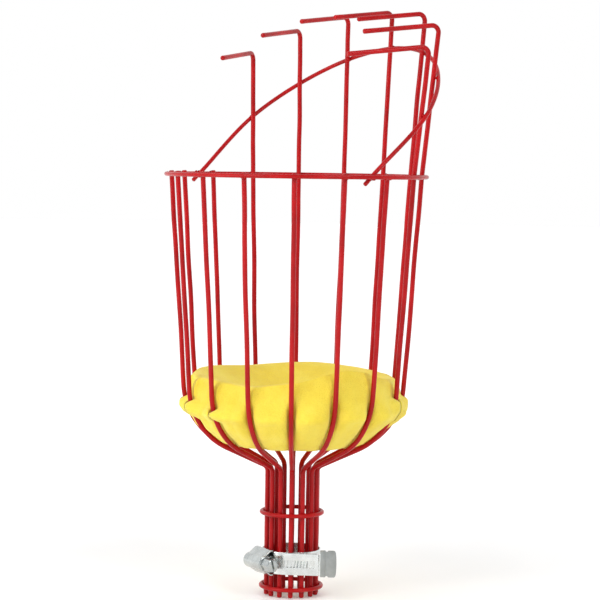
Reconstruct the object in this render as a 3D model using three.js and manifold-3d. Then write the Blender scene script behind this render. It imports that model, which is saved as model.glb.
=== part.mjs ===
// Fruit picker basket: a cage of welded, painted steel wires with hooked fingers, a foam cushion
// in its bowl, and a worm-drive band clamp that closes its wire neck on a pole.
// Millimetres, +Z up. The neck's axis is Z, the wires' cut ends stand at z = 0, the long fingers
// are on the +Y side and the open mouth on the -Y side.
import * as THREE from "three";
import { mergeVertices } from "three/addons/utils/BufferGeometryUtils.js";
import Module from "manifold-3d";

const wasm = await Module();
wasm.setup();

// Driving dimensions
const WIRE_DIAMETER = 2.8;          // fingers and short wires
const RING_WIRE_DIAMETER = 2.4;     // rim ring, neck rings and hoop
const GAP = 0.3;
const WIRE_COUNT = 16;
const FINGER_STEPS = 3;             // fingers stand this many wire steps to each side of +Y
const NECK_RADIUS = 14.6;           // neck wires' centre lines, a socket for a 25 mm pole
const NECK_TOP = 74.4;
const NECK_CROWDING = 8;            // degrees by which neck wires are set aside, towards its crowded side
const NECK_SPARSE_SIDE = 134;       // degrees from +Y to the side where they stand furthest apart
const NECK_BEND = 5;
const BOWL_CORNER = new THREE.Vector2(61.8, 96.5);
const BOWL_BEND = 40;
const RIM_HEIGHT = 242.5;
const RIM_WIRE_RADIUS = 71.8;       // wires' centre lines at the rim
const FLARE = 0.068;                // the cage widens by this much per millimetre of height
const FINGER_FLARE = 0.08;          // and the fingers by this much above the rim
const FINGER_LEAN = 3;              // degrees that the middle finger's top is turned to -X
const FINGER_SHIFT = new THREE.Vector3(1.2, 1.2, 0);   // how far all their tops stand off centre
const WIRE_TOP = 244.4;             // cut tops of the short wires
const FINGER_TOPS = [340, 338, 329.6, 315.6];   // from the middle finger outward
const HOOK_LENGTH = 49;
const HOOK_DROOP = 6.5;             // degrees below level
const HOOK_TURN = 30;               // how strongly the hooks turn towards each other, degrees
const HOOK_BEND = 4;
const NECK_RING_HEIGHTS = { lower: 4.9, upper: 47.8 };
const HOOP_LOW = 9.6;               // height of the hoop's plane above the rim at y = 0
const HOOP_RISE = 0.817;            // slope of the hoop's plane
const HOOP_LEG_SIDE = 70.9;         // its straight legs, just inside the rim ring
const HOOP_LEG_END = -16.8;
const CUSHION_BOTTOM = 88.8;
const CUSHION_EDGE = 128;           // top of its raised edge
const CUSHION_MIDDLE = 111;         // bottom of its dish
const CUSHION_CLEARANCE = 0.8;      // between its flank and the wires
const BAND_WIDTH = 12.7;
const BAND_THICKNESS = 0.7;
const CLAMP_HEIGHT = 20.3;
const CLAMP_TURN = -11;             // degrees about Z, from -Y
const SCREW_RADIUS = 22.3;          // screw axis to neck axis

// Sizes that follow from them
const WIRE_RADIUS = WIRE_DIAMETER / 2;
const RING_WIRE_RADIUS = RING_WIRE_DIAMETER / 2;
const TOUCH = WIRE_RADIUS + RING_WIRE_RADIUS + GAP;
const WIRE_STEP = 360 / WIRE_COUNT;
const BAND_INNER = NECK_RADIUS + WIRE_RADIUS + GAP + BAND_THICKNESS / 2;
const BAND_OUTER = BAND_INNER + BAND_THICKNESS + GAP;
const WALL = BAND_OUTER + BAND_THICKNESS / 2 + GAP;

const degrees = THREE.MathUtils.degToRad;
const cageRadius = (z) => RIM_WIRE_RADIUS + (z > RIM_HEIGHT ? FINGER_FLARE : FLARE) * (z - RIM_HEIGHT);

function material(color, roughness, metalness) {
  return new THREE.MeshStandardMaterial({ color, roughness, metalness });
}

const redPaint = material(0xc41a20, 0.3, 0.1);
const foam = material(0xf2dc4a, 0.95, 0);
const zinc = material(0xaab2b2, 0.35, 0.9);

function named(name, geometry, surface) {
  const mesh = new THREE.Mesh(geometry, surface.clone());
  mesh.name = name;
  return mesh;
}

// A wire bent at corners: straight between them, with a round bend of a given radius at each.
class BentWire extends THREE.Curve {
  constructor(corners, bends, degreesPerStep) {
    super();
    this.stations = [{ point: corners[0], tangent: corners[1].clone().sub(corners[0]).normalize() }];
    for (let i = 1; i < corners.length - 1; i += 1) {
      this.addBend(corners[i], corners[i + 1], bends[i - 1], degreesPerStep);
    }
    const tangent = this.stations.at(-1).tangent.clone();
    this.stations.push({ point: corners.at(-1), tangent });
  }

  addBend(corner, next, radius, degreesPerStep) {
    const before = this.stations.at(-1).tangent;
    const after = next.clone().sub(corner).normalize();
    const angle = before.angleTo(after);
    const axis = before.clone().cross(after).normalize();
    const start = corner.clone().addScaledVector(before, -radius * Math.tan(angle / 2));
    const centre = start.clone().addScaledVector(axis.clone().cross(before), radius);
    const steps = Math.max(2, Math.round(angle / degrees(degreesPerStep)));
    for (let k = 0; k <= steps; k += 1) {
      const turn = (angle * k) / steps;
      const point = start.clone().sub(centre).applyAxisAngle(axis, turn).add(centre);
      this.stations.push({ point, tangent: before.clone().applyAxisAngle(axis, turn) });
    }
  }

  getSpacedPoints() {
    return this.stations.map((station) => station.point);
  }

  computeFrenetFrames() {
    const tangents = this.stations.map((station) => station.tangent);
    const side = Math.abs(tangents[0].z) > 0.9 ? new THREE.Vector3(1, 0, 0) : new THREE.Vector3(0, 0, 1);
    const normals = [side.projectOnPlane(tangents[0]).normalize()];
    for (let i = 1; i < tangents.length; i += 1) {
      const roll = new THREE.Quaternion().setFromUnitVectors(tangents[i - 1], tangents[i]);
      normals.push(normals[i - 1].clone().applyQuaternion(roll));
    }
    const binormals = tangents.map((tangent, i) => tangent.clone().cross(normals[i]));
    return { tangents, normals, binormals };
  }
}

function roundSection(radius) {
  const sides = 8;
  const corner = (k) => (2 * Math.PI * (k + 0.5)) / sides;
  const at = (k) => new THREE.Vector2(radius * Math.cos(corner(k)), radius * Math.sin(corner(k)));
  return new THREE.Shape(Array.from({ length: sides }, (_, k) => at(k)));
}

function wireGeometry(path) {
  return new THREE.ExtrudeGeometry(roundSection(WIRE_RADIUS), {
    steps: path.stations.length - 1,
    extrudePath: path,
  });
}

// A point at this angle from +Y, radius and height.
function around(angle, radius, z) {
  return new THREE.Vector3(radius * Math.sin(angle), radius * Math.cos(angle), z);
}

// The corners that every wire shares, from its foot to the bowl. In the neck the wires are not
// quite evenly spaced.
function cageCorners(angle) {
  const inNeck = angle + degrees(NECK_CROWDING) * Math.sin(angle - degrees(NECK_SPARSE_SIDE));
  return [
    around(inNeck, NECK_RADIUS, 0),
    around(inNeck, NECK_RADIUS, NECK_TOP),
    around(angle, BOWL_CORNER.x, BOWL_CORNER.y),
  ];
}

function shortWire(angle) {
  const corners = [...cageCorners(angle), around(angle, cageRadius(WIRE_TOP), WIRE_TOP)];
  return wireGeometry(new BentWire(corners, [NECK_BEND, BOWL_BEND], 18));
}

// The straight stretch of a finger, from the rim to the corner of its hook.
function fingerLine(angle, top) {
  const lean = degrees(FINGER_LEAN) * Math.cos(angle) ** 2;
  const corner = around(angle - lean, cageRadius(top), top).add(FINGER_SHIFT);
  return new THREE.Line3(around(angle, RIM_WIRE_RADIUS, RIM_HEIGHT), corner);
}

function fingerWire(angle, top) {
  const line = fingerLine(angle, top);
  const heading = degrees(HOOK_TURN) * Math.sin(0.86 * angle);
  const reach = new THREE.Vector3(-Math.sin(heading), -Math.cos(heading), -Math.tan(degrees(HOOK_DROOP)));
  const tip = line.end.clone().addScaledVector(reach.normalize(), HOOK_LENGTH);
  const corners = [...cageCorners(angle), line.start, line.end, tip];
  return wireGeometry(new BentWire(corners, [NECK_BEND, BOWL_BEND, BOWL_BEND, HOOK_BEND], 18));
}

function ring(radius, height, segments) {
  const geometry = new THREE.TorusGeometry(radius, RING_WIRE_RADIUS, 8, segments);
  return geometry.translate(0, 0, height);
}

// Where the hoop touches the outside of a finger, on the hoop's plane.
function hoopTouch(angle, top) {
  const line = fingerLine(angle, top);
  const outward = around(angle, TOUCH, 0);
  const run = line.delta(new THREE.Vector3());
  const lift = HOOP_LOW + HOOP_RISE * (line.start.y + outward.y);
  return line.at(lift / (run.z - HOOP_RISE * run.y), new THREE.Vector3()).add(outward);
}

// A U of wire in a sloping plane: round the outside of the fingers, then two straight legs that
// run down inside the rim ring.
function hoopGeometry() {
  const leg = (side, y) => new THREE.Vector3(side * HOOP_LEG_SIDE, y, RIM_HEIGHT + HOOP_LOW + HOOP_RISE * y);
  const points = [leg(-1, HOOP_LEG_END), leg(-1, HOOP_LEG_END / 2)];
  for (let k = -FINGER_STEPS; k <= FINGER_STEPS; k += 1) {
    points.push(hoopTouch(degrees(k * WIRE_STEP), FINGER_TOPS[Math.abs(k)]));
  }
  points.push(leg(1, HOOP_LEG_END / 2), leg(1, HOOP_LEG_END));
  const path = new THREE.CatmullRomCurve3(points);
  return new THREE.ExtrudeGeometry(roundSection(RING_WIRE_RADIUS), { steps: 36, extrudePath: path });
}

// Centre of the round bend between the bowl's slope and the wall, as radius and height.
function bowlCentre() {
  const slope = Math.atan2(BOWL_CORNER.y - NECK_TOP, BOWL_CORNER.x - NECK_RADIUS);
  const wall = Math.atan2(1, FLARE);
  const inward = (slope + wall) / 2 + Math.PI / 2;
  const distance = BOWL_BEND / Math.cos((wall - slope) / 2);
  return new THREE.Vector2(Math.cos(inward), Math.sin(inward)).multiplyScalar(distance).add(BOWL_CORNER);
}

// Foam disc: flat underside, a round flank that follows the bowl, and a dished top.
function cushionGeometry() {
  const centre = bowlCentre();
  const flank = BOWL_BEND - WIRE_RADIUS - CUSHION_CLEARANCE;
  const start = Math.asin((CUSHION_BOTTOM - centre.y) / flank);
  const outline = new THREE.Path();
  outline.moveTo(0, CUSHION_BOTTOM);
  outline.lineTo(centre.x + flank * Math.cos(start), CUSHION_BOTTOM);
  outline.absarc(centre.x, centre.y, flank, start, degrees(-17), false);
  outline.quadraticCurveTo(60, CUSHION_EDGE - 6, 57, CUSHION_EDGE);
  outline.bezierCurveTo(54, CUSHION_EDGE + 2, 48, CUSHION_EDGE - 6, 40, CUSHION_EDGE - 10);
  outline.quadraticCurveTo(22, CUSHION_MIDDLE, 0, CUSHION_MIDDLE);
  return new THREE.LatheGeometry(outline.getPoints(6), 36).rotateX(Math.PI / 2);
}

function solid(geometry) {
  const bare = geometry.clone();
  bare.deleteAttribute("normal");
  bare.deleteAttribute("uv");
  const merged = mergeVertices(bare, 1e-4);
  return new wasm.Manifold(new wasm.Mesh({
    numProp: 3,
    vertProperties: new Float32Array(merged.attributes.position.array),
    triVerts: new Uint32Array(merged.index.array),
  }));
}

function geometryOf(manifold) {
  const mesh = manifold.getMesh();
  const geometry = new THREE.BufferGeometry();
  geometry.setAttribute("position", new THREE.BufferAttribute(new Float32Array(mesh.vertProperties), 3));
  geometry.setIndex(new THREE.BufferAttribute(new Uint32Array(mesh.triVerts), 1));
  return geometry;
}

// The clamp is drawn with its housing on the -Y side of the neck and its screw along X.
const TAIL_LEAVES = 51;             // degrees past the housing where the tail goes straight
const TAIL_LENGTH = 17.4;
const TAB_OFFSET = 1.2;
const TAB_START = 18.6;
const TAB_LENGTH = 10;
const TAB_HEIGHT = 15.5;
const TAB_RISE = 1;                 // the tab's middle above the band's
const SLOT_PITCH = 1.85;
const SLOT_WIDTH = 0.9;
const SLOT_HEIGHT = 3.5;

const tailFrame = new THREE.Matrix4().makeRotationZ(degrees(TAIL_LEAVES))
  .multiply(new THREE.Matrix4().makeTranslation(0, -BAND_OUTER, 0));

// Plan outline of the band: once around the neck, up over its own fixed end, and off along the tail.
function bandOutline() {
  const middle = [];
  const turns = { start: -8, climb: 318, over: 338, leave: 360 + TAIL_LEAVES };
  const rise = BAND_OUTER - BAND_INNER;
  for (let turn = turns.start; turn <= turns.leave; turn += (turns.leave - turns.start) / 60) {
    const radius = BAND_INNER + rise * THREE.MathUtils.smoothstep(turn, turns.climb, turns.over);
    const outward = new THREE.Vector2(Math.sin(degrees(turn)), -Math.cos(degrees(turn)));
    middle.push({ point: outward.clone().multiplyScalar(radius), outward });
  }
  const outward = new THREE.Vector2(0, -1).rotateAround(new THREE.Vector2(), degrees(TAIL_LEAVES));
  for (const [along, out] of [[TAIL_LENGTH, 0], [TAB_START, TAB_OFFSET], [TAB_START + 1, TAB_OFFSET]]) {
    const point = new THREE.Vector3(along, -out, 0).applyMatrix4(tailFrame);
    middle.push({ point: new THREE.Vector2(point.x, point.y), outward });
  }
  const side = (distance) => middle.map((at) => at.point.clone().addScaledVector(at.outward, distance));
  return new THREE.Shape([...side(BAND_THICKNESS / 2), ...side(-BAND_THICKNESS / 2).reverse()]);
}

function tabShape() {
  const half = TAB_HEIGHT / 2;
  const shape = new THREE.Shape();
  shape.moveTo(0, -half);
  shape.lineTo(3.2, -half);
  shape.lineTo(3.8, -half + 1.1);
  shape.lineTo(4.4, -half);
  shape.lineTo(TAB_LENGTH - 1.6, -half);
  shape.quadraticCurveTo(TAB_LENGTH + 0.6, 0, TAB_LENGTH - 1.6, half);
  shape.lineTo(4.4, half);
  shape.lineTo(3.8, half - 1.1);
  shape.lineTo(3.2, half);
  shape.lineTo(0, half);
  return shape;
}

function slotGeometry(turn, along) {
  const slot = new THREE.BoxGeometry(SLOT_WIDTH, 3 * BAND_THICKNESS, SLOT_HEIGHT);
  slot.translate(along, -BAND_OUTER - BAND_THICKNESS, 0);
  return slot.rotateZ(degrees(turn));
}

function bandGeometry() {
  const strip = new THREE.ExtrudeGeometry(bandOutline(), { depth: BAND_WIDTH, bevelEnabled: false });
  strip.translate(0, 0, -BAND_WIDTH / 2);
  const tab = new THREE.ExtrudeGeometry(tabShape(), {
    depth: BAND_THICKNESS,
    bevelEnabled: false,
    curveSegments: 6,
  });
  tab.rotateX(Math.PI / 2);
  tab.translate(TAB_START, -TAB_OFFSET + BAND_THICKNESS / 2, TAB_RISE);
  tab.applyMatrix4(tailFrame);
  let band = solid(strip).add(solid(tab));
  for (let along = 1; along < TAIL_LENGTH - 1; along += SLOT_PITCH) {
    band = band.subtract(solid(slotGeometry(TAIL_LEAVES, along)));
  }
  const pitchTurn = SLOT_PITCH / degrees(BAND_OUTER);
  for (let turn = TAIL_LEAVES - pitchTurn / 2; turn > TAIL_LEAVES - 34; turn -= pitchTurn) {
    band = band.subtract(solid(slotGeometry(turn, 0)));
  }
  return geometryOf(band);
}

const HOUSING_LENGTH = 16.6;
const HOUSING_END = 6.8;            // its open end, towards the screw's head
const HOUSING_START = HOUSING_END - HOUSING_LENGTH;
const BARREL_RADIUS = 4.4;
const WORM_RADIUS = 3.5;
const HEX_ACROSS_FLATS = 7;
const SHEET = 0.8;                  // the housing's sheet
const SCREW_END = 15.3;

function alongX(geometry, x, y) {
  return geometry.rotateZ(-Math.PI / 2).translate(x, y, 0);
}

// Sheet housing: a saddle over the band's edges and a barrel over the worm, closed at its far end.
function housingGeometry() {
  const half = BAND_WIDTH / 2 + GAP + 0.9;
  const foot = BAND_INNER - 0.1;
  const saddle = new THREE.Shape();
  saddle.moveTo(-half, foot);
  saddle.lineTo(half, foot);
  saddle.lineTo(half, WALL + 0.7);
  saddle.lineTo(BARREL_RADIUS, SCREW_RADIUS);
  saddle.lineTo(-BARREL_RADIUS, SCREW_RADIUS);
  saddle.lineTo(-half, WALL + 0.7);
  const block = new THREE.ExtrudeGeometry(saddle, { depth: HOUSING_LENGTH, bevelEnabled: false });
  block.translate(0, 0, HOUSING_START);
  // The section's x becomes Z, its y becomes -Y, and its depth runs along X.
  block.applyMatrix4(new THREE.Matrix4().set(0, 0, 1, 0, 0, -1, 0, 0, 1, 0, 0, 0, 0, 0, 0, 1));
  const middle = (HOUSING_START + HOUSING_END) / 2;
  const barrel = new THREE.CylinderGeometry(BARREL_RADIUS, BARREL_RADIUS, HOUSING_LENGTH, 24);
  const bore = new THREE.CylinderGeometry(WORM_RADIUS + GAP, WORM_RADIUS + GAP, HOUSING_LENGTH, 24);
  const channel = new THREE.BoxGeometry(3 * HOUSING_LENGTH, WALL, BAND_WIDTH + 2 * GAP);
  channel.translate(0, -WALL / 2, 0);
  const shell = solid(block)
    .add(solid(alongX(barrel, middle, -SCREW_RADIUS)))
    .subtract(solid(alongX(bore, middle + SHEET, -SCREW_RADIUS)))
    .subtract(solid(channel));
  return geometryOf(shell);
}

// Worm screw: worm, flange and slotted hexagon head in one.
function screwGeometry() {
  const start = HOUSING_START + SHEET + GAP;
  const flange = HOUSING_END + GAP;
  const outline = new THREE.Path([
    [0, start], [WORM_RADIUS, start], [WORM_RADIUS, flange],
    [BARREL_RADIUS, flange], [BARREL_RADIUS, flange + 1], [0, flange + 1],
  ].map(([radius, x]) => new THREE.Vector2(radius, x)));
  const worm = new THREE.LatheGeometry(outline.getPoints(), 24);
  const corner = HEX_ACROSS_FLATS / Math.sqrt(3);
  const length = SCREW_END - flange - 0.5;
  const head = new THREE.CylinderGeometry(corner, corner, length, 6);
  head.translate(0, SCREW_END - length / 2, 0);
  const slot = new THREE.BoxGeometry(1.3, 5, 10);
  slot.translate(0, SCREW_END + 0.6, 0);
  slot.rotateY(degrees(15));
  const screw = solid(worm).add(solid(head)).subtract(solid(slot));
  return alongX(geometryOf(screw), 0, -SCREW_RADIUS);
}

const basket = new THREE.Group();

const half = WIRE_COUNT / 2;
let shortNumber = 0;
for (let k = 1 - half; k <= half; k += 1) {
  const angle = degrees(k * WIRE_STEP);
  const step = Math.abs(k);
  if (step <= FINGER_STEPS) {
    const name = `finger_wire_${k + FINGER_STEPS + 1}`;
    basket.add(named(name, fingerWire(angle, FINGER_TOPS[step]), redPaint));
  } else {
    shortNumber += 1;
    basket.add(named(`basket_wire_${shortNumber}`, shortWire(angle), redPaint));
  }
}
basket.add(named("rim_ring", ring(RIM_WIRE_RADIUS + TOUCH, RIM_HEIGHT, 64), redPaint));
for (const [place, height] of Object.entries(NECK_RING_HEIGHTS)) {
  basket.add(named(`neck_ring_${place}`, ring(NECK_RADIUS + TOUCH, height, 40), redPaint));
}
basket.add(named("finger_hoop", hoopGeometry(), redPaint));
basket.add(named("foam_cushion", cushionGeometry(), foam));

const clamp = new THREE.Group();
clamp.add(named("clamp_band", bandGeometry(), zinc));
clamp.add(named("clamp_housing", housingGeometry(), zinc));
clamp.add(named("clamp_screw", screwGeometry(), zinc));
clamp.position.z = CLAMP_HEIGHT;
clamp.rotation.z = degrees(CLAMP_TURN);
basket.add(clamp);

export default basket;
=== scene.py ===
# Fruit picker basket: a welded cage of red painted wire, a foam cushion and a worm-drive band clamp,
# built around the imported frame. The neck's axis is Z, the fingers are on the +Y side, the open mouth
# on the -Y side. Sizes here are in millimetres, and MM turns them into Blender's metres.
import math
import random
from bisect import bisect_right

import bmesh
import bpy
from mathutils import Matrix, Quaternion, Vector, noise


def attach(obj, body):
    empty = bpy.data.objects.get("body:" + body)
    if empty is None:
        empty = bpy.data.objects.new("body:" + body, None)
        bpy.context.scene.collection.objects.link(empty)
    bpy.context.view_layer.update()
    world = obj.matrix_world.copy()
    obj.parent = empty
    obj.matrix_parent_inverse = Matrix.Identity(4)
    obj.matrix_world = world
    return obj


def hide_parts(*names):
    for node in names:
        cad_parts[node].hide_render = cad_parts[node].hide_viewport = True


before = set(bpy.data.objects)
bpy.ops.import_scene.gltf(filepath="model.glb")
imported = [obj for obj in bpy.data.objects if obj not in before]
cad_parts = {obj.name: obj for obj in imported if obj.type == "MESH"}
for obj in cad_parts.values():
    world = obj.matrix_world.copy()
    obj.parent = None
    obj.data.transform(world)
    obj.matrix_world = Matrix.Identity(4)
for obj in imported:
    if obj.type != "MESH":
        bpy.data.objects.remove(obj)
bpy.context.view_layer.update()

MM = 0.001

# Without a seed of its own, noise_vector is seeded from the clock and each run differs
NOISE_SEED = 12
noise.seed_set(NOISE_SEED)

# The cage, as the frame has it
WIRE_RADIUS = 1.4
RING_WIRE_RADIUS = 1.2
GAP = 0.3
TOUCH = WIRE_RADIUS + RING_WIRE_RADIUS + GAP
WIRE_STEP = math.radians(22.5)
FINGER_STEPS = 3
NECK_RADIUS = 14.6
NECK_TOP = 74.4
NECK_CROWDING = math.radians(8)
NECK_SPARSE_SIDE = math.radians(134)
NECK_BEND = 5
BOWL_CORNER = (61.8, 96.5)
BOWL_BEND = 40
RIM_HEIGHT = 242.5
RIM_WIRE_RADIUS = 71.8
FLARE = 0.068
FINGER_FLARE = 0.08
FINGER_LEAN = math.radians(3)
FINGER_SHIFT = Vector((1.2, 1.2, 0))
WIRE_TOP = 244.4
FINGER_TOPS = (340, 338, 329.6, 315.6)
HOOK_LENGTH = 49
HOOK_DROOP = math.radians(6.5)
HOOK_TURN = math.radians(30)
HOOK_BEND = 4
NECK_RING_HEIGHTS = {"lower": 4.9, "upper": 47.8}
HOOP_LOW = 9.6
HOOP_RISE = 0.817
HOOP_LEG_SIDE = 70.9
HOOP_LEG_END = -16.8

# The hand work: how far the wires waver between welds, how uneven the paint is, and the weld's shape
WAVER = 0.45
WAVER_LENGTH = 34
WAVER_FREE = 30
COAT_UNEVEN = 0.02
COAT_PATCH = 6
CUT_END = ((0.0, 0.72), (0.12, 0.88), (0.35, 0.985), (0.8, 1.03))
WELD_STEP = 0.24
WELD_WAIST = 0.82
WELD_FLARE = 0.85

# The cushion
CUSHION_BOTTOM = 88.8
CUSHION_EDGE = 127.3
CUSHION_MIDDLE = 111
FOAM_SLACK = 0.6
FLANK_REACH = 65.0
FLANK_BULGE = 1.9
FLANK_BULGE_SIDE = math.radians(55)
FOLD_PLACE = 0.62
FOLD_WIDTH = 0.13
LUMP_LENGTH = 13
LUMP_HEIGHT = 0.5
LIP_CLEARANCE = 0.7
LIP_PEAK = 2.4
LIP_PULL = 3.7

# The clamp, drawn with its housing towards -Y and its screw along X
BAND_WIDTH = 12.7
BAND_THICKNESS = 0.7
BAND_INNER = NECK_RADIUS + WIRE_RADIUS + GAP + BAND_THICKNESS / 2
BAND_OUTER = BAND_INNER + BAND_THICKNESS + GAP
CLAMP_HEIGHT = 20.3
CLAMP_TURN = math.radians(-11)
SCREW_AXIS = 22.3
CLAMP_PLACE = Matrix.Translation((0, 0, CLAMP_HEIGHT)) @ Matrix.Rotation(CLAMP_TURN, 4, "Z")

# The camera: its direction from the object, its distance and what it looks at
CAMERA_AZIMUTH = math.radians(45.849)
CAMERA_ELEVATION = math.radians(3.793)
CAMERA_ROLL = math.radians(-0.818)
CAMERA_DISTANCE = 1246.47
CAMERA_SIDE = 2.948
CAMERA_HEIGHT = 170.79
LENS = 129.74

# The floor glows a little, less beside the object than far away. The reach is in metres.
FLOOR_RADIUS = 7000
FLOOR_DROP = 0.25
FLOOR_GLOW = (0.10, 0.42)
FLOOR_GLOW_REACH = (0.12, 0.9)


# ---------------------------------------------------------------- small helpers

def smoothstep(x, low, high):
    t = min(1, max(0, (x - low) / (high - low)))
    return t * t * (3 - 2 * t)


def around(angle, radius, z):
    """A point at this angle from +Y, radius and height."""
    return Vector((radius * math.sin(angle), radius * math.cos(angle), z))


def piece(name, bm, material, smooth_below=40):
    """Turns a bmesh in millimetres into a scene object in metres, smooth except at sharp edges."""
    bmesh.ops.recalc_face_normals(bm, faces=bm.faces)
    mesh = bpy.data.meshes.new(name)
    bm.to_mesh(mesh)
    bm.free()
    mesh.transform(Matrix.Scale(MM, 4))
    mesh.polygons.foreach_set("use_smooth", [True] * len(mesh.polygons))
    mesh.set_sharp_from_angle(angle=math.radians(smooth_below))
    mesh.materials.append(material)
    obj = bpy.data.objects.new(name, mesh)
    bpy.context.scene.collection.objects.link(obj)
    return obj


def fit(obj, body, slot, *nodes):
    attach(obj, body)
    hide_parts(*nodes)
    return obj


def apply_modifiers(obj):
    depsgraph = bpy.context.evaluated_depsgraph_get()
    mesh = bpy.data.meshes.new_from_object(obj.evaluated_get(depsgraph))
    obj.modifiers.clear()
    obj.data = mesh


def thicken(obj, thickness):
    """Gives a sheet its thickness, half to each side."""
    thick = obj.modifiers.new("thickness", "SOLIDIFY")
    thick.thickness = thickness * MM
    thick.offset = 0


def soften(obj, width, segments, sharper_than):
    """Rounds the edges that are sharper than this many degrees, and applies the modifiers."""
    soft = obj.modifiers.new("soft_edges", "BEVEL")
    soft.width = width * MM
    soft.segments = segments
    soft.limit_method = "ANGLE"
    soft.angle_limit = math.radians(sharper_than)
    apply_modifiers(obj)


def bridge(bm, first, second, closed=True):
    count = len(first)
    for i in range(count if closed else count - 1):
        j = (i + 1) % count
        bm.faces.new((first[i], first[j], second[j], second[i]))


# ---------------------------------------------------------------- materials

def node_material(name):
    material = bpy.data.materials.new(name)
    material.use_nodes = True
    nodes, links = material.node_tree.nodes, material.node_tree.links
    shader = nodes["Principled BSDF"]
    place = nodes.new("ShaderNodeTexCoord").outputs["Object"]
    return material, nodes, links, shader, place


def noise_node(nodes, links, place, scale, detail=4, roughness=0.5):
    node = nodes.new("ShaderNodeTexNoise")
    node.inputs["Scale"].default_value = scale
    node.inputs["Detail"].default_value = detail
    node.inputs["Roughness"].default_value = roughness
    links.new(place, node.inputs["Vector"])
    return node.outputs["Fac"]


def ramp(nodes, links, value, stops):
    node = nodes.new("ShaderNodeValToRGB")
    elements = node.color_ramp.elements
    while len(elements) < len(stops):
        elements.new(0.5)
    for element, (position, color) in zip(elements, stops):
        element.position = position
        element.color = (*color, 1)
    links.new(value, node.inputs["Fac"])
    return node.outputs["Color"]


def grey_ramp(nodes, links, value, low, high):
    """Noise runs mostly from 0.3 to 0.7, which this spreads from one grey to another."""
    return ramp(nodes, links, value, [(0.3, (low,) * 3), (0.7, (high,) * 3)])


def bump(nodes, links, height, distance, strength=1.0, below=None):
    node = nodes.new("ShaderNodeBump")
    node.inputs["Distance"].default_value = distance
    node.inputs["Strength"].default_value = strength
    links.new(height, node.inputs["Height"])
    if below is not None:
        links.new(below, node.inputs["Normal"])
    return node.outputs["Normal"]


def stretched(nodes, links, place, scale):
    node = nodes.new("ShaderNodeMapping")
    node.inputs["Scale"].default_value = scale
    links.new(place, node.inputs["Vector"])
    return node.outputs["Vector"]


def red_paint():
    """Glossy dip paint: thicker and darker in patches, with a faint orange peel and runs."""
    material, nodes, links, shader, place = node_material("red_dip_paint")
    patches = noise_node(nodes, links, place, 55, 5)
    color = ramp(nodes, links, patches, [
        (0.28, (0.30, 0.002, 0.003)), (0.5, (0.40, 0.003, 0.005)), (0.74, (0.47, 0.006, 0.008)),
    ])
    links.new(color, shader.inputs["Base Color"])
    fine = noise_node(nodes, links, place, 900, 3)
    links.new(grey_ramp(nodes, links, fine, 0.26, 0.38), shader.inputs["Roughness"])
    runs = noise_node(nodes, links, stretched(nodes, links, place, (1, 1, 0.35)), 260, 2)
    peel = bump(nodes, links, fine, 0.00004)
    links.new(bump(nodes, links, runs, 0.00018, 0.8, peel), shader.inputs["Normal"])
    shader.inputs["Specular IOR Level"].default_value = 0.17
    shader.inputs["Coat Weight"].default_value = 0.06
    shader.inputs["Coat Roughness"].default_value = 0.12
    return material


def yellow_foam():
    """Open-cell foam: cells of half a millimetre, each with painted shade in its pore, a soft mottle, and
    light that goes a little way in.
    """
    material, nodes, links, shader, place = node_material("open_cell_foam")
    mottle = noise_node(nodes, links, place, 45, 6, 0.6)
    color = ramp(nodes, links, mottle, [
        (0.25, (0.79, 0.59, 0.05)), (0.5, (0.86, 0.68, 0.075)), (0.75, (0.91, 0.75, 0.11)),
    ])
    cells = nodes.new("ShaderNodeTexVoronoi")
    cells.inputs["Scale"].default_value = 1500
    links.new(place, cells.inputs["Vector"])
    # Painted shade: the colour is darker at the middle of each cell, where the open pore is, as shade
    # inside it
    pore_shade = ramp(nodes, links, cells.outputs["Distance"], [
        (0.05, (0.78, 0.74, 0.60)), (0.45, (1, 1, 1)),
    ])
    mix = nodes.new("ShaderNodeMixRGB")
    mix.blend_type = "MULTIPLY"
    mix.inputs["Fac"].default_value = 0.6
    links.new(color, mix.inputs["Color1"])
    links.new(pore_shade, mix.inputs["Color2"])
    links.new(mix.outputs["Color"], shader.inputs["Base Color"])
    grain = noise_node(nodes, links, place, 420, 5, 0.65)
    soft = bump(nodes, links, grain, 0.0005, 0.7)
    links.new(bump(nodes, links, cells.outputs["Distance"], 0.00025, 0.8, soft), shader.inputs["Normal"])
    links.new(grey_ramp(nodes, links, grain, 0.82, 1.0), shader.inputs["Roughness"])
    shader.inputs["Subsurface Weight"].default_value = 0.25
    shader.inputs["Subsurface Radius"].default_value = (0.004, 0.003, 0.001)
    shader.inputs["Subsurface Scale"].default_value = 1.0
    shader.inputs["Specular IOR Level"].default_value = 0.2
    shader.inputs["Sheen Weight"].default_value = 0.15
    return material


def zinc(name, tint, rough, streaks):
    """Zinc plate: cool grey metal, with cloudy patches and fine streaks from rolling or turning."""
    material, nodes, links, shader, place = node_material(name)
    clouds = noise_node(nodes, links, place, 160, 5, 0.6)
    color = ramp(nodes, links, clouds, [
        (0.3, tuple(0.82 * c for c in tint)), (0.55, tint), (0.75, tuple(1.12 * c for c in tint)),
    ])
    links.new(color, shader.inputs["Base Color"])
    lines = noise_node(nodes, links, stretched(nodes, links, place, streaks), 900, 3)
    links.new(grey_ramp(nodes, links, lines, rough - 0.07, rough + 0.1), shader.inputs["Roughness"])
    cloudy = bump(nodes, links, clouds, 0.00006)
    links.new(bump(nodes, links, lines, 0.00002, 0.6, cloudy), shader.inputs["Normal"])
    shader.inputs["Metallic"].default_value = 1.0
    return material


# ---------------------------------------------------------------- wires

def straight(start, end, spacing=5):
    """Points after start, up to and with end."""
    count = max(1, math.ceil((end - start).length / spacing))
    return [start.lerp(end, (k + 1) / count) for k in range(count)]


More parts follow.
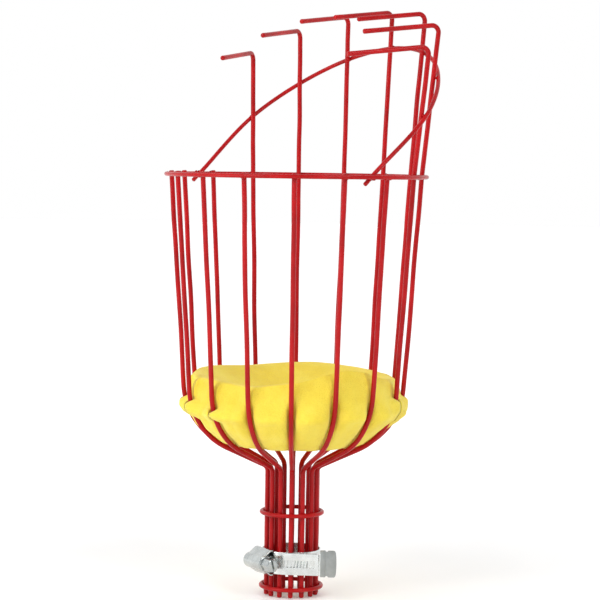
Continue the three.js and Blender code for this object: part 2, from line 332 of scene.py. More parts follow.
def bent_path(corners, bends):
    """A wire's centre line: straight between its corners, with a round bend at each."""
    points = [corners[0]]
    before = (corners[1] - corners[0]).normalized()
    for i, radius in enumerate(bends, 1):
        after = (corners[i + 1] - corners[i]).normalized()
        angle = before.angle(after)
        axis = before.cross(after).normalized()
        start = corners[i] - before * radius * math.tan(angle / 2)
        centre = start + axis.cross(before) * radius
        points += straight(points[-1], start)
        steps = max(4, math.ceil(math.degrees(angle) / 4))
        for k in range(1, steps + 1):
            points.append(centre + Quaternion(axis, angle * k / steps) @ (start - centre))
        before = after
    return points + straight(points[-1], corners[-1])


def neck_angle(angle):
    """In the neck the wires are not quite evenly spaced."""
    return angle + NECK_CROWDING * math.sin(angle - NECK_SPARSE_SIDE)


def cage_corners(angle):
    return [
        around(neck_angle(angle), NECK_RADIUS, 0),
        around(neck_angle(angle), NECK_RADIUS, NECK_TOP),
        around(angle, *BOWL_CORNER),
    ]


def finger_line(angle, top):
    """The ends of a finger's straight stretch, from the rim to the corner of its hook."""
    lean = FINGER_LEAN * math.cos(angle) ** 2
    radius = RIM_WIRE_RADIUS + FINGER_FLARE * (top - RIM_HEIGHT)
    return around(angle, RIM_WIRE_RADIUS, RIM_HEIGHT), around(angle - lean, radius, top) + FINGER_SHIFT


def finger_path(angle, top):
    start, end = finger_line(angle, top)
    heading = HOOK_TURN * math.sin(0.86 * angle)
    reach = Vector((-math.sin(heading), -math.cos(heading), -math.tan(HOOK_DROOP))).normalized()
    corners = [*cage_corners(angle), start, end, end + reach * HOOK_LENGTH]
    return bent_path(corners, [NECK_BEND, BOWL_BEND, BOWL_BEND, HOOK_BEND])


def short_path(angle):
    radius = RIM_WIRE_RADIUS + FINGER_FLARE * (WIRE_TOP - RIM_HEIGHT)
    return bent_path([*cage_corners(angle), around(angle, radius, WIRE_TOP)], [NECK_BEND, BOWL_BEND])


def waver(points, seed, welds):
    """Hand-bent wire is never quite straight: a slow waver that dies away at each weld."""
    shifted = []
    for point in points:
        free = min(smoothstep(abs(point.z - height), 0, WAVER_FREE) for height in welds)
        where = Vector((seed * 7.3, seed * 3.1, point.z / WAVER_LENGTH))
        shifted.append(point + noise.noise_vector(where) * WAVER * free * Vector((1, 1, 0)))
    return shifted


def tube(bm, points, radius, closed=False, sides=16, seed=0):
    """A round painted wire along the points, with softened cut ends and a slightly uneven coat."""
    count = len(points)
    tangents = []
    for i in range(count):
        ahead = points[(i + 1) % count] if closed or i + 1 < count else points[i]
        behind = points[i - 1] if closed or i > 0 else points[i]
        tangents.append((ahead - behind).normalized())
    stations = [(points[i], tangents[i], 1.0) for i in range(count)]
    if not closed:
        first, last = (points[0], tangents[0]), (points[-1], tangents[-1])
        head = [(first[0] + first[1] * d, first[1], r) for d, r in CUT_END]
        foot = [(last[0] - last[1] * d, last[1], r) for d, r in reversed(CUT_END)]
        stations = head + stations[1:-1] + foot
    normal = stations[0][1].orthogonal().normalized()
    before = stations[0][1]
    loops = []
    for point, tangent, share in stations:
        normal = before.rotation_difference(tangent) @ normal
        normal = (normal - tangent * normal.dot(tangent)).normalized()
        before = tangent
        coat = 1 + COAT_UNEVEN * noise.noise(point / COAT_PATCH + Vector((seed, 0, 0)))
        ring = []
        for k in range(sides):
            turn = 2 * math.pi * k / sides
            offset = normal * math.cos(turn) + tangent.cross(normal) * math.sin(turn)
            ring.append(bm.verts.new(point + offset * radius * share * coat))
        loops.append(ring)
    for i in range(len(loops) - 1):
        bridge(bm, loops[i], loops[i + 1])
    if closed:
        last, start = loops[-1], loops[0]
        shift = min(range(sides), key=lambda s: (last[0].co - start[s].co).length)
        bridge(bm, last, start[shift:] + start[:shift])
    else:
        bm.faces.new(loops[0][::-1])
        bm.faces.new(loops[-1])


def weld(bm, wire_side, out, size=1.0):
    """A painted-over weld that fills the space between two crossing wires."""
    out = out.normalized()
    middle = wire_side + out * (WIRE_RADIUS + GAP / 2)
    side = out.orthogonal().normalized()
    up = out.cross(side)
    sides, loops = 14, []
    for step in range(-4, 5):
        height = WELD_STEP * step
        radius = (WELD_WAIST + WELD_FLARE * height * height) * size
        ring = []
        for k in range(sides):
            turn = 2 * math.pi * k / sides
            offset = side * math.cos(turn) + up * math.sin(turn)
            ring.append(bm.verts.new(middle + out * height + offset * radius))
        loops.append(ring)
    for first, second in zip(loops, loops[1:]):
        bridge(bm, first, second)
    bm.faces.new(loops[0][::-1])
    bm.faces.new(loops[-1])


def hoop_touch(angle, top):
    """Where the hoop's centre line passes a finger, and the finger's own centre line there."""
    start, end = finger_line(angle, top)
    outward = around(angle, TOUCH, 0)
    run = end - start
    lift = HOOP_LOW + HOOP_RISE * (start.y + outward.y)
    on_finger = start + run * lift / (run.z - HOOP_RISE * run.y)
    return on_finger + outward, on_finger


def catmull_rom(points, steps=12):
    """A centripetal Catmull-Rom spline through the points."""
    ends = [2 * points[0] - points[1], *points, 2 * points[-1] - points[-2]]
    out = [points[0]]
    for a, b, c, d in zip(ends, ends[1:], ends[2:], ends[3:]):
        gaps = [math.sqrt((q - p).length) for p, q in ((a, b), (b, c), (c, d))]
        first = (b - a) / gaps[0] - (c - a) / (gaps[0] + gaps[1]) + (c - b) / gaps[1]
        last = (c - b) / gaps[1] - (d - b) / (gaps[1] + gaps[2]) + (d - c) / gaps[2]
        first, last = first * gaps[1], last * gaps[1]
        for k in range(1, steps + 1):
            t = k / steps
            out.append(
                b * (2 * t**3 - 3 * t**2 + 1) + first * (t**3 - 2 * t**2 + t)
                + c * (3 * t**2 - 2 * t**3) + last * (t**3 - t**2)
            )
    return out


def make_cage(paint):
    half = round(math.pi / WIRE_STEP)
    short_number = 0
    for k in range(1 - half, half + 1):
        angle, step = k * WIRE_STEP, abs(k)
        bm = bmesh.new()
        welds = [*NECK_RING_HEIGHTS.values(), NECK_TOP, RIM_HEIGHT]
        if step <= FINGER_STEPS:
            number = k + FINGER_STEPS + 1
            top = FINGER_TOPS[step]
            welds += [hoop_touch(angle, top)[0].z, top]
            tube(bm, waver(finger_path(angle, top), k, welds), WIRE_RADIUS, seed=k)
            fit(piece(f"finger_{number}", bm, paint), "basket", "red_paint", f"finger_wire_{number}")
        else:
            short_number += 1
            tube(bm, waver(short_path(angle), k, welds), WIRE_RADIUS, seed=k)
            node = f"basket_wire_{short_number}"
            fit(piece(f"side_wire_{short_number}", bm, paint), "basket", "red_paint", node)


def make_ring(name, node, radius, height, paint):
    """A closed ring with a weld at each wire."""
    bm = bmesh.new()
    steps = 160 if radius > 30 else 72
    circle = [around(2 * math.pi * k / steps, radius, height) for k in range(steps)]
    tube(bm, circle, RING_WIRE_RADIUS, closed=True, seed=radius)
    count = round(2 * math.pi / WIRE_STEP)
    for k in range(count):
        angle = k * WIRE_STEP if height > NECK_TOP else neck_angle(k * WIRE_STEP)
        weld(bm, around(angle, radius - TOUCH, height), around(angle, 1, 0))
    fit(piece(name, bm, paint), "basket", "red_paint", node)


def make_hoop(paint):
    def leg(side, y):
        return Vector((side * HOOP_LEG_SIDE, y, RIM_HEIGHT + HOOP_LOW + HOOP_RISE * y))

    points = [leg(-1, HOOP_LEG_END), leg(-1, HOOP_LEG_END / 2)]
    bm = bmesh.new()
    for k in range(-FINGER_STEPS, FINGER_STEPS + 1):
        on_hoop, on_finger = hoop_touch(k * WIRE_STEP, FINGER_TOPS[abs(k)])
        points.append(on_hoop)
        weld(bm, on_finger, on_hoop - on_finger)
    points += [leg(1, HOOP_LEG_END / 2), leg(1, HOOP_LEG_END)]
    tube(bm, catmull_rom(points), RING_WIRE_RADIUS, seed=5)
    for side in (-1, 1):
        crossing = leg(side, -HOOP_LOW / HOOP_RISE)
        weld(bm, crossing, Vector((crossing.x, crossing.y, 0)), 1.15)
    fit(piece("finger_hoop_wire", bm, paint), "basket", "red_paint", "finger_hoop")


# ---------------------------------------------------------------- cushion

# Places of the raised edge, in degrees from +Y, with their spread and their height
EDGE_WAVES = ((103, 24, 7.8), (160, 18, -2.4), (-35, 30, 2.5), (40, 25, -1.0), (-110, 24, 2.0))
# Wires that the foam has closed over, by their step from +Y: middle height and half height
COVERED = {
    1: (107, 4), 2: (108.5, 5.5), 3: (110, 4.5), 8: (108.5, 1), 9: (110, 2.5),
    10: (109, 3), 12: (108, 4), 13: (106, 2), 15: (107, 5),
}
PRESSED_FOR = 1.75        # degrees to each side of a wire where the foam stays behind it
FOAM_COLUMNS = (0, 1.0, 1.75, 1.95, 2.3, 2.9, 3.8, 5, 6.5, 8.2, 10, 11.25)
# The dished top, from the raised edge inwards: share of the edge's radius, and how far it has dropped
DISH = ((0.97, -0.35), (0.93, -0.3), (0.87, 0.9), (0.78, 3.4), (0.67, 6.6), (0.52, 10.4))


def bowl_centre():
    """Centre of the bend between the bowl's slope and its wall, as radius and height."""
    slope = math.atan2(BOWL_CORNER[1] - NECK_TOP, BOWL_CORNER[0] - NECK_RADIUS)
    wall = math.atan2(1, FLARE)
    inward = (slope + wall) / 2 + math.pi / 2
    distance = BOWL_BEND / math.cos((wall - slope) / 2)
    return BOWL_CORNER[0] + distance * math.cos(inward), BOWL_CORNER[1] + distance * math.sin(inward)


def smooth_line(points, steps=6):
    line = catmull_rom([Vector((r, 0, z)) for r, z in points], steps)
    return [(p.x, p.z) for p in line]


def pressed_flank():
    """The foam's flank where a wire presses it: the wire's inner side, from the bottom to the top."""
    centre = bowl_centre()
    reach = BOWL_BEND - WIRE_RADIUS - FOAM_SLACK
    heights = (CUSHION_BOTTOM + FOAM_SLACK, 92, 97, 102.5, 107.5, 113, 119)
    flank = [(centre[0] + math.sqrt(reach**2 - (z - centre[1]) ** 2), z) for z in heights]
    return smooth_line([(flank[0][0] - 2.5, CUSHION_BOTTOM), *flank, (60.2, 124.5), (57.8, CUSHION_EDGE)])


def free_flank(corner):
    """The flank between two wires, where the disc's square lower edge pokes out past them."""
    under = [(42, CUSHION_BOTTOM), (45.5, 90.3), (50.5, 94.2), (56.3, 98.8), (corner - 3.6, 103.9)]
    over = [(corner, 107.8), (corner - 1.7, 112.4), (corner - 4.2, 118.2), (corner - 6.4, 123)]
    return smooth_line([*under, *over, (57.5, CUSHION_EDGE)])


def wire_radius_at(z):
    centre = bowl_centre()
    if z < centre[1]:
        return centre[0] + math.sqrt(BOWL_BEND**2 - (z - centre[1]) ** 2)
    return RIM_WIRE_RADIUS + FLARE * (z - RIM_HEIGHT)


def edge_height(angle):
    """How the raised edge of the top rises and dips around the cushion. Angle is from +Y."""
    total = 0
    for centre, spread, height in EDGE_WAVES:
        away = (math.degrees(angle) - centre + 180) % 360 - 180
        total += height * math.exp(-((away / spread) ** 2))
    return total


def lips(step, offset, radius, height):
    """Beside a covered wire the foam's two swellings close over it. Gives the new offset and radius."""
    if step not in COVERED:
        return offset, radius
    middle, half = COVERED[step]
    strength = 1 - smoothstep(abs(height - middle), half, half + 4)
    reach = abs(offset)
    pull = LIP_PULL * strength * smoothstep(reach, 2.0, 3.7) * (1 - smoothstep(reach, 4.2, 10))
    peak = max(0, 1 - abs(height - middle) / (half + 4))
    cover = LIP_CLEARANCE + 0.5 * smoothstep(reach, 2.6, 3.8) + LIP_PEAK * peak
    over = max(radius, wire_radius_at(height) + WIRE_RADIUS + cover)
    share = strength * smoothstep(reach, 1.95, 2.6) * (1 - smoothstep(reach, 5, 10))
    return math.copysign(reach - pull, offset), radius + (over - radius) * share


def dish(top):
    """The rest of a column, from the raised edge in towards the middle of the dished top."""
    radius, rise = top.xy.length, top.z - CUSHION_EDGE
    angle = math.atan2(top.x, top.y)
    column = []
    for share, drop in DISH:
        column.append(around(angle, radius * share, CUSHION_EDGE - drop + rise * share**4))
    return column


def cushion_columns():
    rng = random.Random(12)
    sectors = round(2 * math.pi / WIRE_STEP)
    half = FOAM_COLUMNS[-1]
    offsets = [-a for a in FOAM_COLUMNS[-2:0:-1]] + list(FOAM_COLUMNS)
    pressed = pressed_flank()
    shapes = []
    for k in range(sectors):
        bulge = FLANK_BULGE * math.cos((k + 0.5) * WIRE_STEP - FLANK_BULGE_SIDE)
        reach = FLANK_REACH + bulge + rng.uniform(-0.7, 0.7)
        shapes.append((free_flank(reach), rng.uniform(0.2, 1.5), rng.uniform(0.3, 0.5)))
    columns = []
    for k in range(sectors):
        for offset in offsets:
            free, depth, slant = shapes[k if offset >= 0 else k - 1]
            across = (offset % (2 * half)) / (2 * half)
            out = max(0, (abs(offset) - PRESSED_FOR) / (half - PRESSED_FOR))
            swell = math.sqrt(1 - (1 - out) ** 2)
            rise = edge_height(k * WIRE_STEP + math.radians(offset))
            column = []
            for i, (a, b) in enumerate(zip(pressed, free)):
                share = i / (len(pressed) - 1)
                crease = (across - FOLD_PLACE + slant * share) / FOLD_WIDTH
                fold = depth * math.exp(-crease * crease) * math.sin(math.pi * share) * swell
                radius = a[0] + (b[0] - a[0]) * swell - fold
                height = a[1] + (b[1] - a[1]) * swell
                turned, radius = lips(k, offset, radius, height)
                angle = k * WIRE_STEP + math.radians(turned)
                column.append(around(angle, radius, height + rise * share**3))
            columns.append(column + dish(column[-1]))
    return columns


def make_cushion(foam):
    columns = cushion_columns()
    for column in columns:
        for point in column:
            behind = min(1, max(0, (point.xy.length - 40) / 20))
            lump = noise.noise_vector(point / LUMP_LENGTH + Vector((31, 0, 0)))
            point += lump * LUMP_HEIGHT * (1 - 0.6 * behind)
    bm = bmesh.new()
    grid = [[bm.verts.new(p) for p in column] for column in columns]
    rows = len(grid[0])
    for a, b in zip(grid, grid[1:] + grid[:1]):
        for i in range(rows - 1):
            bm.faces.new((a[i], b[i], b[i + 1], a[i + 1]))
    underside, top = (0, CUSHION_BOTTOM, (0.8, 0.5, 0.2)), (-1, CUSHION_MIDDLE, (0.7, 0.4, 0.15))
    for row, level, shares in (underside, top):
        edge = [column[row] for column in grid]
        outer = edge
        for share in shares:
            inner = []
            for v in edge:
                height = level + (v.co.z - level) * share**2
                inner.append(bm.verts.new((v.co.x * share, v.co.y * share, height)))
            bridge(bm, outer, inner)
            outer = inner
        middle = bm.verts.new((0, 0, level))
        for i in range(len(outer)):
            bm.faces.new((outer[i], outer[(i + 1) % len(outer)], middle))
    cushion = piece("cushion_foam", bm, foam, 180)
    fit(cushion, "cushion", "yellow_foam", "foam_cushion")


# ---------------------------------------------------------------- clamp

TAIL_LEAVES = 51          # degrees past the housing where the band's tail goes straight
TAIL_LENGTH = 17.4
TAB_OFFSET = 1.2
TAB_START = 18.6
TAB_LENGTH = 10
TAB_HEIGHT = 15.5
TAB_RISE = 1
SLOT_PITCH = 1.85
SLOT_WIDTH = 0.95
SLOT_HEIGHT = 4.0
HOUSING_START = -9.8
HOUSING_END = 6.8
BARREL_RADIUS = 4.4
WORM_RADIUS = 3.5
HEX_ACROSS_FLATS = 7
SHEET = 0.8
SCREW_END = 15.3
WORM_START = HOUSING_START + SHEET + GAP + 0.4
FLANGE_START = HOUSING_END + GAP
THREAD_DEPTH = 0.75


def band_line():
    """The band's plan, as points with the distance run along it: a turn and a bit, then the tail."""
    points = []
    for step in range(-8 * 2, (360 + TAIL_LEAVES) * 2 + 1):
        turn = step / 2
        radius = BAND_INNER + (BAND_OUTER - BAND_INNER) * smoothstep(turn, 318, 338)
        angle = math.radians(turn)
        points.append(Vector((radius * math.sin(angle), -radius * math.cos(angle), 0)))
    leave = Matrix.Rotation(math.radians(TAIL_LEAVES), 4, "Z")
    tail = [(k * 0.6, 0) for k in range(1, 29)]
    tail += [(TAIL_LENGTH, 0.05), (17.8, 0.35), (18.2, 0.85), (TAB_START, TAB_OFFSET), (20.2, TAB_OFFSET)]
    points += [leave @ Vector((along, -BAND_OUTER - out, 0)) for along, out in tail]
    runs = [0.0]
    for a, b in zip(points, points[1:]):
        runs.append(runs[-1] + (b - a).length)
    return points, runs


def make_band(metal, shaded_tab_metal):
    points, runs = band_line()
    slots_from = runs[(342 + 8) * 2]
    slots_to = runs[(360 + TAIL_LEAVES + 8) * 2] + TAIL_LENGTH - 1.6

    def at(run):
        run = min(max(run, 0), runs[-1] - 1e-6)
        high = bisect_right(runs, run)
        low = high - 1
        return points[low].lerp(points[high], (run - runs[low]) / (runs[high] - runs[low]))

    edge = BAND_WIDTH / 2
    rows = [-edge, -edge + 0.5, -4.2, -SLOT_HEIGHT / 2, SLOT_HEIGHT / 2, 4.2, edge - 0.5, edge]
    columns, hole_after = [], set()
    run = 0.0
    while run < slots_from:
        columns.append((run, 0))
        run += slots_from / 110
    slot = slots_from + SLOT_PITCH / 2
    while slot < slots_to:
        hole_after.add(len(columns))
        columns += [(slot - SLOT_WIDTH / 2, 1), (slot + SLOT_WIDTH / 2, 1)]
        slot += SLOT_PITCH
    run = columns[-1][0] + 0.6
    while run < runs[-1]:
        columns.append((run, 0))
        run += 0.45
    bm = bmesh.new()
    grid = []
    for run, slanted in columns:
        line = []
        for w in rows:
            slant = 0.24 * min(1, max(-1, w * 2 / SLOT_HEIGHT)) * slanted
            spot = at(run + slant)
            line.append(bm.verts.new((spot.x, spot.y, w)))
        grid.append(line)
    for i in range(len(grid) - 1):
        for j in range(len(rows) - 1):
            if i in hole_after and j == 3:
                continue
            bm.faces.new((grid[i][j], grid[i + 1][j], grid[i + 1][j + 1], grid[i][j + 1]))
    bm.transform(CLAMP_PLACE)
    band = piece("band_with_tab", bm, metal)
    thicken(band, BAND_THICKNESS)
    soften(band, 0.14, 2, 50)
    # The tab takes the darker zinc: painted shade, for a tab that faces a darker side of the studio
    join(band, make_tab(shaded_tab_metal))
    fit(band, "clamp", "zinc_plate", "clamp_band")


def join(target, *others):
    """Puts the others' faces into the target, each with its own material, and removes the others."""
    bm = bmesh.new()
    for obj in (target, *others):
        before, material = len(bm.faces), obj.data.materials[0]
        bm.from_mesh(obj.data)
        if material.name not in target.data.materials:
            target.data.materials.append(material)
        bm.faces.ensure_lookup_table()
        for face in bm.faces[before:]:
            face.material_index = target.data.materials.find(material.name)
    bm.to_mesh(target.data)
    bm.free()
    for obj in others:
        bpy.data.objects.remove(obj)
    target.data.polygons.foreach_set("use_smooth", [True] * len(target.data.polygons))
    target.data.set_sharp_from_angle(angle=math.radians(40))


def plate(outline, low, high):
    """A flat plate in the XZ plane with this outline, from y = -high to y = -low."""
    bm = bmesh.new()
    back = [bm.verts.new((x, -low, z)) for x, z in outline]
    front = [bm.verts.new((x, -high, z)) for x, z in outline]
    bm.faces.new(back)
    bm.faces.new(front[::-1])
    bridge(bm, back, front)
    return bm


def arc_points(centre, radius, start, end, steps):
    out = []
    for k in range(steps + 1):
        angle = math.radians(start + (end - start) * k / steps)
        out.append((centre[0] + radius * math.cos(angle), centre[1] + radius * math.sin(angle)))
    return out


def tab_outline():
    """The end tab: a notch in each long edge near its root, and a bowed far end with round corners."""
    half = TAB_HEIGHT / 2
    upper = [(0, half - 0.3), (0.3, half), (3.0, half)]
    upper += arc_points((3.75, half), 0.75, 180, 360, 6)
    upper += [(4.7, half)]
    upper += arc_points((TAB_LENGTH - 2.3, half - 1.1), 1.1, 90, 25, 4)
    bow = [(TAB_LENGTH - 1.32 + 0.72 * math.cos(math.radians(a)), (half - 0.7) * math.sin(math.radians(a)))
           for a in (60, 40, 20, 0)]
    right = upper + bow
    mirrored = [(x, -z) for x, z in reversed(right) if z > 1e-6]
    return right + mirrored


def make_tab(metal):
    leave = CLAMP_PLACE @ Matrix.Rotation(math.radians(TAIL_LEAVES), 4, "Z")
    place = leave @ Matrix.Translation((TAB_START, -BAND_OUTER - TAB_OFFSET, TAB_RISE))
    half = TAB_HEIGHT / 2
    main = plate(tab_outline(), -BAND_THICKNESS / 2 - 0.02, BAND_THICKNESS / 2 + 0.02)
    fold_outline = [(0.1, -half + 0.5), (2.5, -half + 0.5), (2.9, -half + 1), (2.9, half - 1),
                    (2.5, half - 0.5), (0.1, half - 0.5)]
    fold = plate(fold_outline, 0.3, BAND_THICKNESS / 2 + 0.45)
    made = []
    for name, bm, rounding in (("tab_main", main, 0.28), ("tab_fold", fold, 0.3)):
        bm.transform(place)
        part = piece(name, bm, metal)
        soften(part, rounding, 3, 40)
        made.append(part)
    join(*made)
    return made[0]


def housing_section():
    """The sheet's middle line across the screw, as (height, distance from the neck's axis)."""
    middle = SHEET / 2
    wing = BAND_WIDTH / 2 + GAP + middle
    side = [(wing - 0.1, 16.7), (wing, 17.3), (wing, 18.0), (wing - 0.12, 18.5), (wing - 0.5, 18.95)]
    right = side + arc_points((0, SCREW_AXIS), BARREL_RADIUS - middle, 2, 90, 14)
    left = [(-z, d) for z, d in reversed(right[:-1])]
    return right + left


def make_housing(metal):
    section = housing_section()
    bm = bmesh.new()
    loops = []
    steps = 22
    for k in range(steps + 1):
        x = HOUSING_START + (HOUSING_END - HOUSING_START) * k / steps
        loops.append([bm.verts.new((x, -d, z)) for z, d in section])
    for first, second in zip(loops, loops[1:]):
        bridge(bm, first, second, closed=False)
    bm.transform(CLAMP_PLACE)
    housing = piece("housing_sheet", bm, metal)
    thicken(housing, SHEET)
    soften(housing, 0.2, 3, 50)
    cap = revolve("housing_cap", metal, [
        (HOUSING_START + 0.9, 0), (HOUSING_START + 0.9, 3.3), (HOUSING_START + 0.9, 3.9),
        (HOUSING_START + 0.5, 4.25), (HOUSING_START + 0.15, 4.1), (HOUSING_START - 0.02, 3.75),
        (HOUSING_START - 0.02, 2.3), (HOUSING_START + 0.12, 1.9), (HOUSING_START + 0.12, 0),
    ])
    join(housing, cap)
    fit(housing, "clamp", "zinc_plate", "clamp_housing")


def revolve(name, metal, profile, sides=40, radius_at=None):
    """Turns (x, radius) points about the screw's axis. radius_at(x, turn, radius) may wind a thread."""
    bm = bmesh.new()
    loops = []
    for x, radius in profile:
        if radius == 0:
            loops.append([bm.verts.new((x, -SCREW_AXIS, 0))])
            continue
        ring = []
        for k in range(sides):
            turn = 2 * math.pi * k / sides
            r = radius_at(x, turn, radius) if radius_at else radius
            ring.append(bm.verts.new((x, -SCREW_AXIS + r * math.cos(turn), r * math.sin(turn))))
        loops.append(ring)
    for first, second in zip(loops, loops[1:]):
        if len(first) == 1 or len(second) == 1:
            point, ring = (first[0], second) if len(first) == 1 else (second[0], first)
            for k in range(sides):
                bm.faces.new((point, ring[k], ring[(k + 1) % sides]))
        else:
            bridge(bm, first, second)
    bm.transform(CLAMP_PLACE)
    return piece(name, bm, metal)


def cut(obj, tool, operation):
    change = obj.modifiers.new("cut", "BOOLEAN")
    change.object = tool
    change.operation = operation
    change.solver = "EXACT"
    apply_modifiers(obj)
    bpy.data.objects.remove(tool)


def thread(x, turn, radius):
    """Winds the worm's thread into its radius; the ends and the flange stay plain."""
    if radius < WORM_RADIUS - 0.6 or x > FLANGE_START - 0.8:
        return radius
    phase = (x / SLOT_PITCH - turn / (2 * math.pi)) % 1
    crest = 1 - abs(2 * phase - 1)
    begins = smoothstep(x, WORM_START + 0.3, WORM_START + 1.6)
    fade = begins * (1 - smoothstep(x, FLANGE_START - 2.2, FLANGE_START - 0.9))
    return radius - THREAD_DEPTH + THREAD_DEPTH * smoothstep(crest, 0.25, 0.75) * fade


def hexagon(start, end, corner):
    """A hexagonal bar along the screw's axis."""
    bm = bmesh.new()
    turns = [math.radians(60 * k) for k in range(6)]
    loops = []
    for x in (start, end):
        ring = [(x, -SCREW_AXIS + corner * math.cos(t), corner * math.sin(t)) for t in turns]
        loops.append([bm.verts.new(point) for point in ring])
    bridge(bm, loops[0], loops[1])
    bm.faces.new(loops[0][::-1])
    bm.faces.new(loops[1])
    bm.transform(CLAMP_PLACE)
    return bm


def make_head(metal):
    """The hexagon head, with its chamfered corners and its screwdriver slot."""
    corner = HEX_ACROSS_FLATS / math.sqrt(3)
    head = piece("screw_head", hexagon(FLANGE_START + 0.7, SCREW_END, corner), metal)
    dome = revolve("head_chamfer", metal, [
        (FLANGE_START, 0), (FLANGE_START, 5), (SCREW_END - 0.75, corner + 0.08), (SCREW_END - 0.25, 3.55),
        (SCREW_END - 0.04, 3.2), (SCREW_END, 2.8), (SCREW_END, 0),
    ])
    cut(head, dome, "INTERSECT")
    slot = bmesh.new()
    bmesh.ops.create_cube(slot, size=1)
    slot.transform(Matrix.Diagonal((3.8, 1.3, 12, 1)))
    turned = Matrix.Rotation(math.radians(15), 4, "X")
    slot.transform(Matrix.Translation((SCREW_END, -SCREW_AXIS, 0)) @ turned)
    slot.transform(CLAMP_PLACE)
    cut(head, piece("head_slot", slot, metal), "DIFFERENCE")
    soften(head, 0.13, 2, 35)
    return head


def make_screw(metal):
    start, flange = WORM_START, FLANGE_START
    worm = [(start, 0), (start, 2.2), (start + 0.3, WORM_RADIUS)]
    steps = 90
    worm += [(start + 0.4 + (flange - start - 1.2) * k / steps, WORM_RADIUS) for k in range(steps + 1)]
    worm += [(flange - 0.6, 2.7), (flange, 2.7), (flange, 4.15), (flange + 0.14, BARREL_RADIUS)]
    worm += [(flange + 0.8, BARREL_RADIUS), (flange + 1, 4.15), (flange + 1, 0)]
    screw = revolve("screw_worm", metal, worm, radius_at=thread)
    join(screw, make_head(metal))
    fit(screw, "screw", "zinc_screw", "clamp_screw")


# ---------------------------------------------------------------- studio

def make_floor():
    bm = bmesh.new()
    rings, sides = 12, 64
    loops = []
    for k in range(1, rings + 1):
        radius = FLOOR_RADIUS * (k / rings) ** 2
        ring = [around(2 * math.pi * side / sides, radius, -FLOOR_DROP) for side in range(sides)]
        loops.append([bm.verts.new(point) for point in ring])
    for first, second in zip(loops, loops[1:]):
        bridge(bm, first, second)
    bm.faces.new(loops[0])
    material, nodes, links, shader, place = node_material("studio_floor")
    grain = noise_node(nodes, links, place, 30, 4)
    links.new(grey_ramp(nodes, links, grain, 0.90, 0.93), shader.inputs["Base Color"])
    links.new(grey_ramp(nodes, links, grain, 0.42, 0.5), shader.inputs["Roughness"])
    shader.inputs["Specular IOR Level"].default_value = 0.1
    shader.inputs["Emission Color"].default_value = (1, 1, 1, 1)
    distance = nodes.new("ShaderNodeVectorMath")
    distance.operation = "LENGTH"
    links.new(place, distance.inputs[0])
    glow = nodes.new("ShaderNodeMapRange")
    glow.interpolation_type = "SMOOTHSTEP"
    glow.inputs["From Min"].default_value, glow.inputs["From Max"].default_value = FLOOR_GLOW_REACH
    glow.inputs["To Min"].default_value, glow.inputs["To Max"].default_value = FLOOR_GLOW
    links.new(distance.outputs["Value"], glow.inputs["Value"])
    links.new(glow.outputs["Result"], shader.inputs["Emission Strength"])
    piece("studio_floor", bm, material)


def soft_light(name, place, size, power):
    data = bpy.data.lights.new(name, "AREA")
    data.shape = "RECTANGLE"
    data.size, data.size_y = size
    data.energy = power
    light = bpy.data.objects.new(name, data)
    light.location = place
    aim = Vector((0, 0, 0.17)) - light.location
    light.rotation_euler = aim.to_track_quat("-Z", "Y").to_euler()
    bpy.context.scene.collection.objects.link(light)


def make_studio():
    make_floor()
    # Each light: its turn from the camera's side in degrees, its distance, height, size and power
    lights = (
        ("key", -42, 1.5, 1.2, (0.8, 1.2), 13.5),
        ("fill", 38, 1.7, 1.3, (0.8, 0.8), 12),
        ("side", -62, 1.6, 0.35, (0.30, 1.0), 5),
    )
    for name, turn, distance, height, size, power in lights:
        angle = CAMERA_AZIMUTH + math.radians(turn)
        soft_light(name, (distance * math.sin(angle), -distance * math.cos(angle), height), size, power)
    make_sky()
    bpy.context.scene.view_settings.view_transform = "Standard"


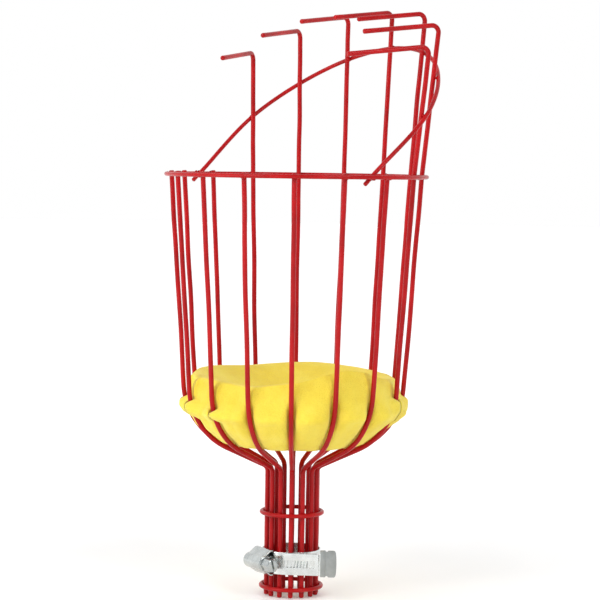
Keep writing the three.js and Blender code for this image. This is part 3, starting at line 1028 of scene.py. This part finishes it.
def make_sky():
    """A white studio whose near side, behind the camera's usual place, is a darker grey."""
    world = bpy.data.worlds.new("studio")
    world.use_nodes = True
    nodes, links = world.node_tree.nodes, world.node_tree.links
    towards = nodes.new("ShaderNodeVectorMath")
    towards.operation = "DOT_PRODUCT"
    links.new(nodes.new("ShaderNodeTexCoord").outputs["Generated"], towards.inputs[0])
    dark_side = CAMERA_AZIMUTH + math.radians(12)
    towards.inputs[1].default_value = (math.sin(dark_side), -math.cos(dark_side), 0.35)
    sky = ramp(nodes, links, towards.outputs["Value"], [
        (0.0, (1.0, 1.0, 1.0)), (0.35, (0.80, 0.80, 0.80)),
        (0.62, (0.20, 0.21, 0.21)), (0.80, (0.45, 0.46, 0.46)),
    ])
    links.new(sky, nodes["Background"].inputs["Color"])
    nodes["Background"].inputs["Strength"].default_value = 1.0
    bpy.context.scene.world = world


def make_camera():
    a, e = CAMERA_AZIMUTH, CAMERA_ELEVATION
    right = Vector((math.cos(a), math.sin(a), 0))
    back = Vector((math.sin(a) * math.cos(e), -math.cos(a) * math.cos(e), math.sin(e)))
    up = back.cross(right)
    roll_right = right * math.cos(CAMERA_ROLL) - up * math.sin(CAMERA_ROLL)
    roll_up = up * math.cos(CAMERA_ROLL) + right * math.sin(CAMERA_ROLL)
    target = right * CAMERA_SIDE + Vector((0, 0, CAMERA_HEIGHT))
    data = bpy.data.cameras.new("camera")
    data.sensor_width = 36
    data.lens = LENS
    data.clip_end = 50
    camera = bpy.data.objects.new("camera", data)
    axes = Matrix((roll_right, roll_up, back)).transposed().to_4x4()
    camera.matrix_world = Matrix.Translation((target + back * CAMERA_DISTANCE) * MM) @ axes
    bpy.context.scene.collection.objects.link(camera)
    bpy.context.scene.camera = camera


# ---------------------------------------------------------------- the whole

paint = red_paint()
plate_zinc = zinc("zinc_plate_satin", (0.74, 0.77, 0.765), 0.20, (1, 1, 14))
# Painted shade: the housing's zinc is a darker copy of the band's, standing in for the dark reflections on
# the barrel
housing_zinc = zinc("zinc_housing_painted_shade", (0.56, 0.59, 0.585), 0.20, (14, 1, 1))
# Painted shade: the tab's zinc is a darker copy of the band's, because the tab faces a darker side of the
# studio. It is also rougher.
rough_shaded_zinc = zinc("zinc_plate_rough_painted_shade", (0.40, 0.42, 0.415), 0.42, (1, 1, 14))
screw_zinc = zinc("zinc_screw_bright", (0.52, 0.55, 0.55), 0.22, (14, 1, 1))

make_cage(paint)
make_ring("rim_ring_wire", "rim_ring", RIM_WIRE_RADIUS + TOUCH, RIM_HEIGHT, paint)
for place, height in NECK_RING_HEIGHTS.items():
    make_ring(f"neck_ring_wire_{place}", f"neck_ring_{place}", NECK_RADIUS + TOUCH, height, paint)
make_hoop(paint)
make_cushion(yellow_foam())
make_band(plate_zinc, rough_shaded_zinc)
make_housing(housing_zinc)
make_screw(screw_zinc)
make_camera()
make_studio()
